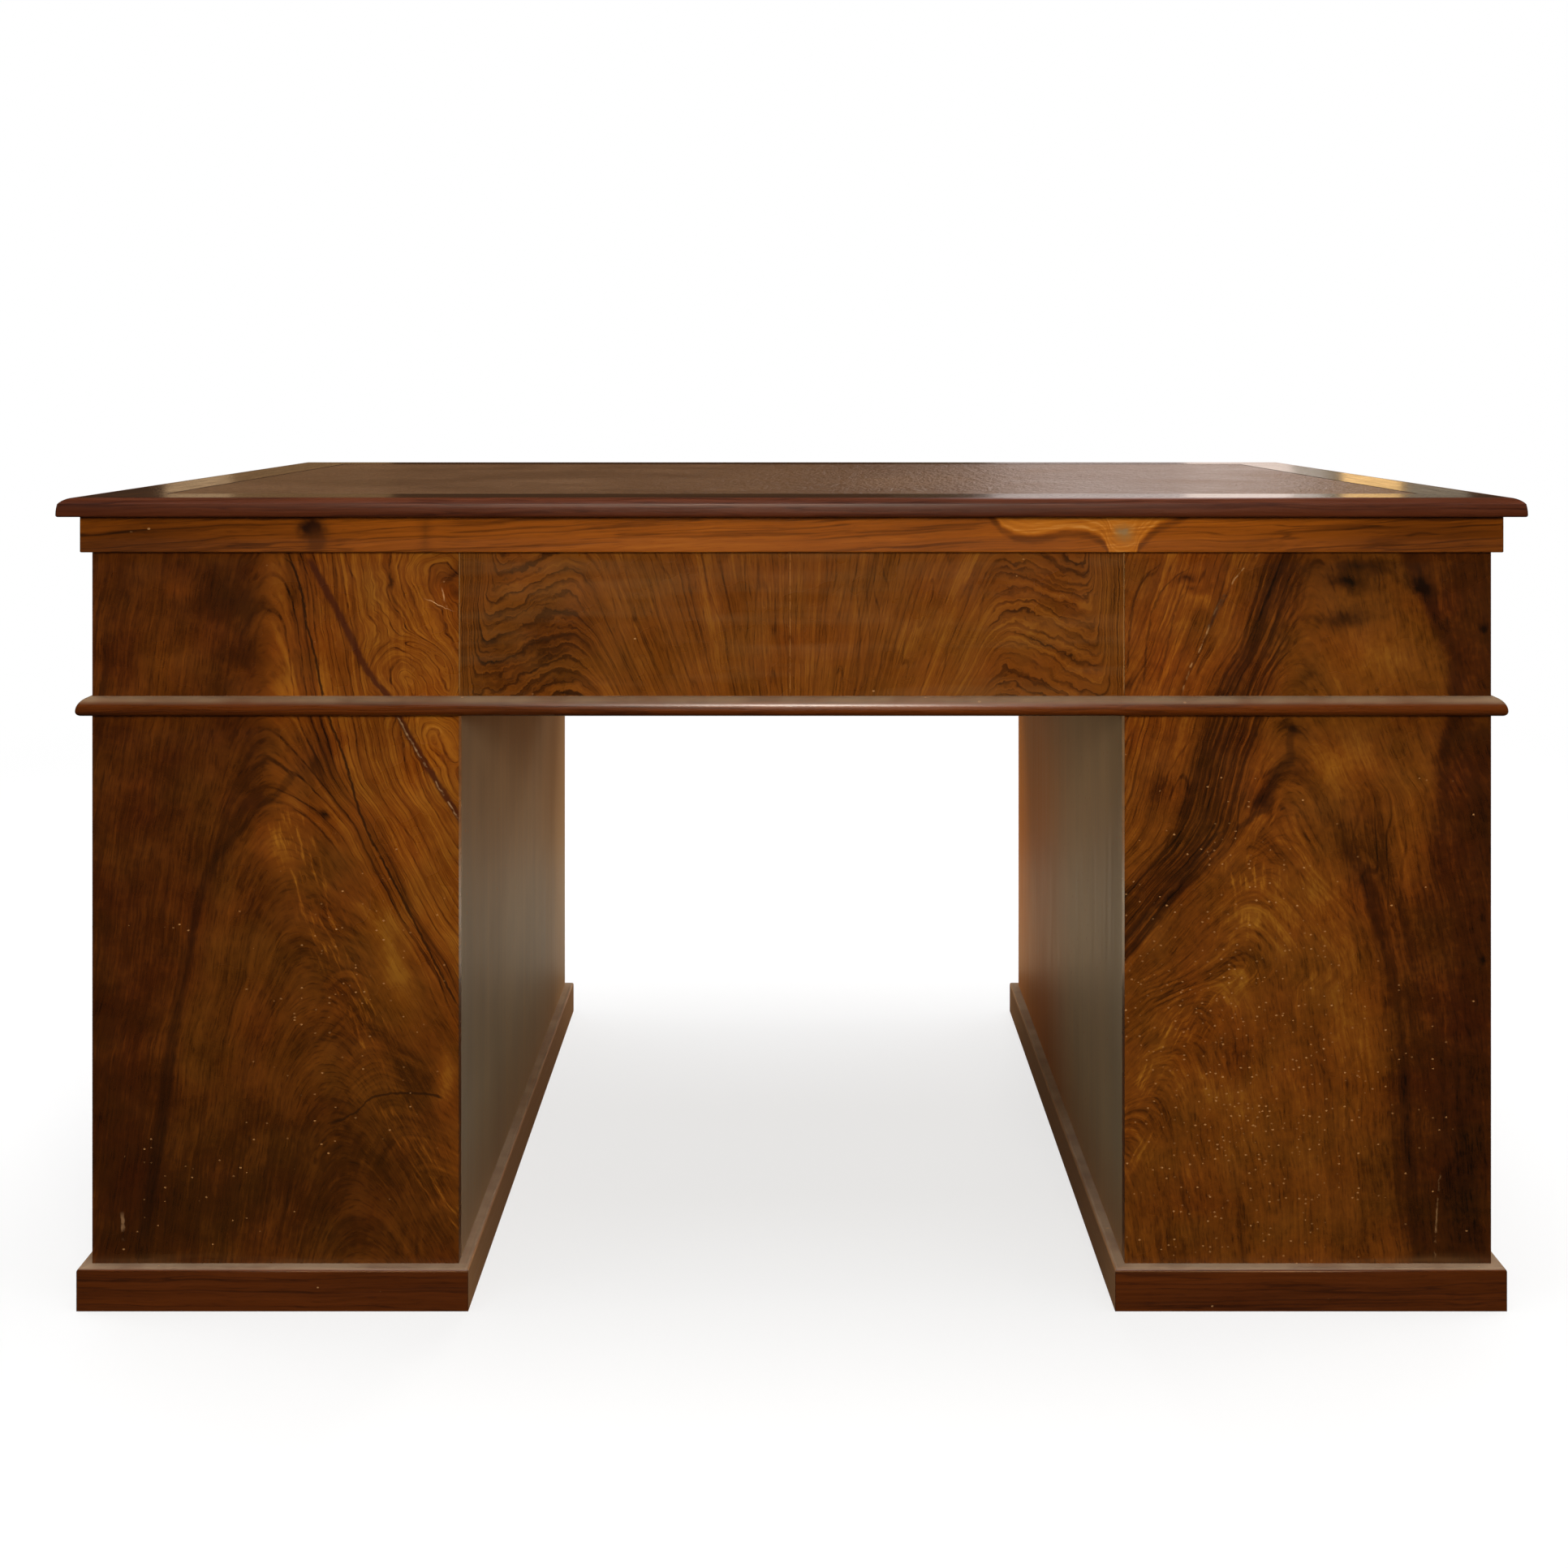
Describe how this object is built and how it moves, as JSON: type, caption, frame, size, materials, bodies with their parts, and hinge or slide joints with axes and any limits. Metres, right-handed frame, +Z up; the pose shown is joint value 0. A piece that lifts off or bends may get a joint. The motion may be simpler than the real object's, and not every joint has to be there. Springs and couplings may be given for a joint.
{
  "type": "partners desk",
  "caption": "Twin-pedestal writing desk with a leather-lined moulded top, an open kneehole, dovetailed drawers on one side and veneered panels on the other.",
  "frame": {"origin": "on the floor, under the middle of the desk's outline", "axes": "+X along the desk's length, +Y towards the drawer side, +Z up; the veneered blind side faces -Y"},
  "size_m": [1.4, 0.9, 0.78],
  "materials": {
    "walnut_veneer": "polished figured walnut veneer",
    "walnut_plain": "dull waxed walnut",
    "walnut_band": "polished straight-grained walnut",
    "walnut_polished": "dark french polished walnut",
    "walnut_turned": "french polished turned walnut",
    "pine_carcass": "bare planed pine",
    "oak_lining": "bare planed oak",
    "leather": "worn waxed hide"
  },
  "bodies": {
    "desk_carcass": {"drawer_stops": "pine_carcass", "frieze_back_centre": "walnut_veneer", "frieze_back_left": "walnut_veneer", "frieze_back_right": "walnut_veneer", "frieze_base": "pine_carcass", "frieze_end_left": "walnut_plain", "frieze_end_right": "walnut_plain", "frieze_kickers": "pine_carcass", "frieze_partitions": "walnut_plain", "frieze_top_rail": "walnut_plain", "leather_inset": "leather", "left_back_panel": "walnut_veneer", "left_drawer_rails": "walnut_plain", "left_drawer_runners": "pine_carcass", "left_inner_side": "walnut_plain", "left_outer_side": "walnut_plain", "left_pedestal_floor": "pine_carcass", "left_pedestal_top": "pine_carcass", "left_plinth": "walnut_polished", "locating_blocks": "pine_carcass", "right_back_panel": "walnut_veneer", "right_drawer_rails": "walnut_plain", "right_drawer_runners": "pine_carcass", "right_inner_side": "walnut_plain", "right_outer_side": "walnut_plain", "right_pedestal_floor": "pine_carcass", "right_pedestal_top": "pine_carcass", "right_plinth": "walnut_polished", "top_board": "pine_carcass", "top_border": "walnut_polished", "under_top_band": "walnut_band", "waist_moulding": "walnut_polished"},
    "centre_frieze_drawer": {"centre_frieze_drawer_box": "oak_lining", "centre_frieze_drawer_front": "walnut_veneer", "centre_frieze_drawer_knobs": "walnut_turned"},
    "left_frieze_drawer": {"left_frieze_drawer_box": "oak_lining", "left_frieze_drawer_front": "walnut_veneer", "left_frieze_drawer_knobs": "walnut_turned"},
    "left_top_drawer": {"left_top_drawer_box": "oak_lining", "left_top_drawer_front": "walnut_veneer", "left_top_drawer_knobs": "walnut_turned"},
    "left_middle_drawer": {"left_middle_drawer_box": "oak_lining", "left_middle_drawer_front": "walnut_veneer", "left_middle_drawer_knobs": "walnut_turned"},
    "left_bottom_drawer": {"left_bottom_drawer_box": "oak_lining", "left_bottom_drawer_front": "walnut_veneer", "left_bottom_drawer_knobs": "walnut_turned"},
    "right_frieze_drawer": {"right_frieze_drawer_box": "oak_lining", "right_frieze_drawer_front": "walnut_veneer", "right_frieze_drawer_knobs": "walnut_turned"},
    "right_top_drawer": {"right_top_drawer_box": "oak_lining", "right_top_drawer_front": "walnut_veneer", "right_top_drawer_knobs": "walnut_turned"},
    "right_middle_drawer": {"right_middle_drawer_box": "oak_lining", "right_middle_drawer_front": "walnut_veneer", "right_middle_drawer_knobs": "walnut_turned"},
    "right_bottom_drawer": {"right_bottom_drawer_box": "oak_lining", "right_bottom_drawer_front": "walnut_veneer", "right_bottom_drawer_knobs": "walnut_turned"}
  },
  "joints": [
    {"name": "centre_frieze_drawer_slide", "type": "slide", "parent": "desk_carcass", "child": "centre_frieze_drawer", "axis": [0, 1, 0], "range_m": [0, 0.5]},
    {"name": "left_frieze_drawer_slide", "type": "slide", "parent": "desk_carcass", "child": "left_frieze_drawer", "axis": [0, 1, 0], "range_m": [0, 0.5]},
    {"name": "left_top_drawer_slide", "type": "slide", "parent": "desk_carcass", "child": "left_top_drawer", "axis": [0, 1, 0], "range_m": [0, 0.5]},
    {"name": "left_middle_drawer_slide", "type": "slide", "parent": "desk_carcass", "child": "left_middle_drawer", "axis": [0, 1, 0], "range_m": [0, 0.5]},
    {"name": "left_bottom_drawer_slide", "type": "slide", "parent": "desk_carcass", "child": "left_bottom_drawer", "axis": [0, 1, 0], "range_m": [0, 0.5]},
    {"name": "right_frieze_drawer_slide", "type": "slide", "parent": "desk_carcass", "child": "right_frieze_drawer", "axis": [0, 1, 0], "range_m": [0, 0.5]},
    {"name": "right_top_drawer_slide", "type": "slide", "parent": "desk_carcass", "child": "right_top_drawer", "axis": [0, 1, 0], "range_m": [0, 0.5]},
    {"name": "right_middle_drawer_slide", "type": "slide", "parent": "desk_carcass", "child": "right_middle_drawer", "axis": [0, 1, 0], "range_m": [0, 0.5]},
    {"name": "right_bottom_drawer_slide", "type": "slide", "parent": "desk_carcass", "child": "right_bottom_drawer", "axis": [0, 1, 0], "range_m": [0, 0.5]}
  ]
}
